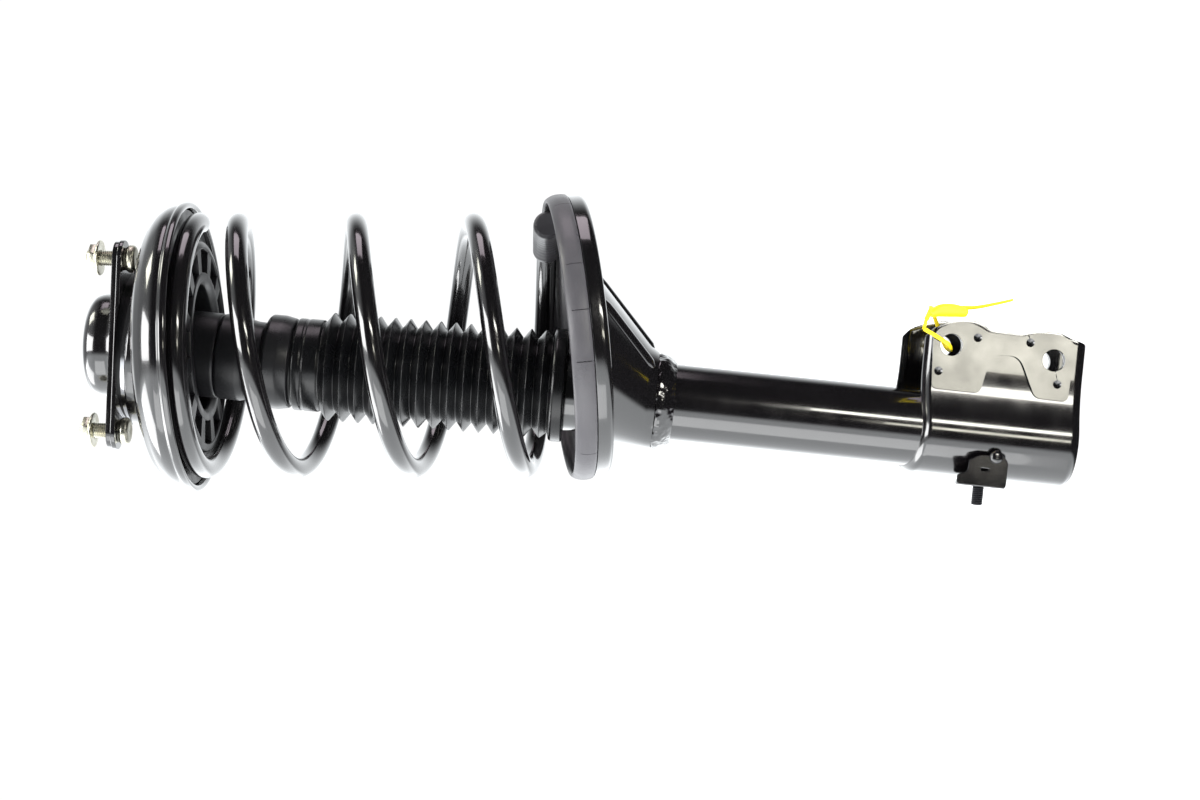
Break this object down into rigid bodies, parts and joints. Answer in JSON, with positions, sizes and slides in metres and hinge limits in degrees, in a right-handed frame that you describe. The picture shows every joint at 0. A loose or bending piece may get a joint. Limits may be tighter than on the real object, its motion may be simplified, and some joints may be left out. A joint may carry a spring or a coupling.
{
  "type": "strut assembly",
  "caption": "Suspension strut with coil spring, tilted spring seats, bellows boot, stud top mount with bearing, and a two-ear knuckle bracket.",
  "frame": {"origin": "centre of the top mount's tower face, on the piston rod's axis", "axes": "+Z along the piston rod towards the top mount; +X towards the outer edges of the knuckle ears; Y across the ears, along the knuckle bolts"},
  "size_m": [0.2201, 0.1908, 0.6491],
  "materials": {
    "bare_steel": "satin",
    "bearing_steel": "gloss",
    "black_paint": "gloss",
    "black_plastic": "satin",
    "black_rubber": "satin",
    "boot_rubber": "satin",
    "bronze": "satin",
    "cage_plastic": "satin",
    "dark_steel": "satin",
    "foam": "matte",
    "grey_rubber": "satin",
    "ring_plastic": "matte",
    "rod_chrome": "gloss",
    "sintered": "matte",
    "zinc": "satin"
  },
  "bodies": {
    "mount": {"mount_plate_upper": "black_paint", "mount_plate_lower": "black_paint", "mount_bushing": "black_rubber", "mount_sleeve": "bare_steel", "mount_studs": "zinc", "mount_nuts": "zinc", "insulator": "black_rubber", "bearing_race_upper": "bearing_steel", "rod": "rod_chrome", "rod_nut": "bare_steel", "bump_spacer": "black_plastic", "bump_stop": "foam", "rebound_stop": "bare_steel", "piston": "sintered", "piston_ring": "ring_plastic", "piston_nut": "bare_steel"},
    "bearing": {"bearing_cage": "cage_plastic", "bearing_balls": "bearing_steel"},
    "seat": {"bearing_race_lower": "bearing_steel", "seat_upper": "black_paint", "pad_upper": "black_rubber", "boot_hub": "black_rubber", "hub_collar": "black_rubber", "boot_retainer": "black_plastic", "coil_spring": "black_paint", "dust_boot": "boot_rubber"},
    "strut": {"tube_outer": "black_paint", "tube_cap": "bare_steel", "oil_seal": "black_rubber", "rod_guide": "sintered", "guide_bushing": "bronze", "cylinder_inner": "bare_steel", "base_valve": "sintered", "base_cap": "black_paint", "spring_perch": "black_paint", "perch_weld": "black_paint", "pad_lower": "grey_rubber", "coil_sleeve": "grey_rubber", "knuckle_bracket": "black_paint", "doubler_near": "black_paint", "doubler_far": "black_paint", "hose_bracket": "black_paint", "hose_bolt": "dark_steel"}
  },
  "joints": [
    {"name": "steer", "type": "hinge", "parent": "mount", "child": "seat", "pos_m": [0, 0, -0.0145], "axis": [0, 0, 1], "range_deg": [-35, 35]},
    {"name": "bearing_roll", "type": "hinge", "parent": "mount", "child": "bearing", "pos_m": [0, 0, -0.0145], "axis": [0, 0, 1], "range_deg": [-17.5, 17.5]},
    {"name": "stroke", "type": "slide", "parent": "seat", "child": "strut", "axis": [0, 0, 1], "range_m": [0, 0.1], "stiffness_N_per_m": 25000, "springref_m": -0.03, "deforming": ["coil_spring", "dust_boot"]}
  ],
  "couplings": [
    {"joint": "bearing_roll", "follows": "steer", "ratio": 0.5}
  ]
}
